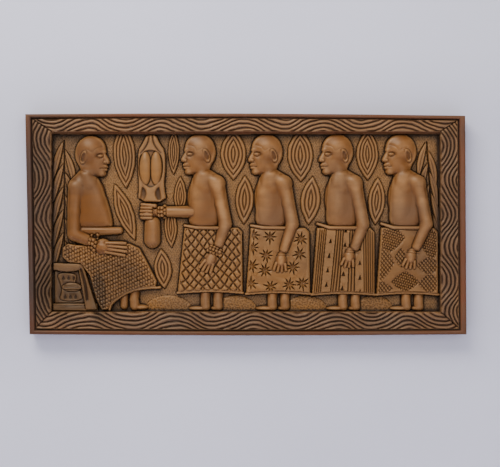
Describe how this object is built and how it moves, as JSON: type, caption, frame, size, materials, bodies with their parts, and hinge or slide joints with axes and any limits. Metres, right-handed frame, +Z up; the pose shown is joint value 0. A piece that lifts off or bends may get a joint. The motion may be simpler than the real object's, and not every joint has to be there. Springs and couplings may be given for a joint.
{
  "type": "carved wooden panel",
  "caption": "Long carved wooden wall panel: a seated figure and a row of standing figures in patterned wraps, with leaves, inside a wave-carved border",
  "frame": {"origin": "middle of the flat back, where the panel lies against the wall", "axes": "+X to the right along the length as seen from the front, +Y out of the back into the wall, +Z up"},
  "size_m": [0.6058, 0.028, 0.3048],
  "materials": {
    "carved_wood": "oiled and waxed hardwood with dark stain in the recesses"
  },
  "bodies": {
    "root": {"carved_panel": "carved_wood"}
  },
  "joints": []
}
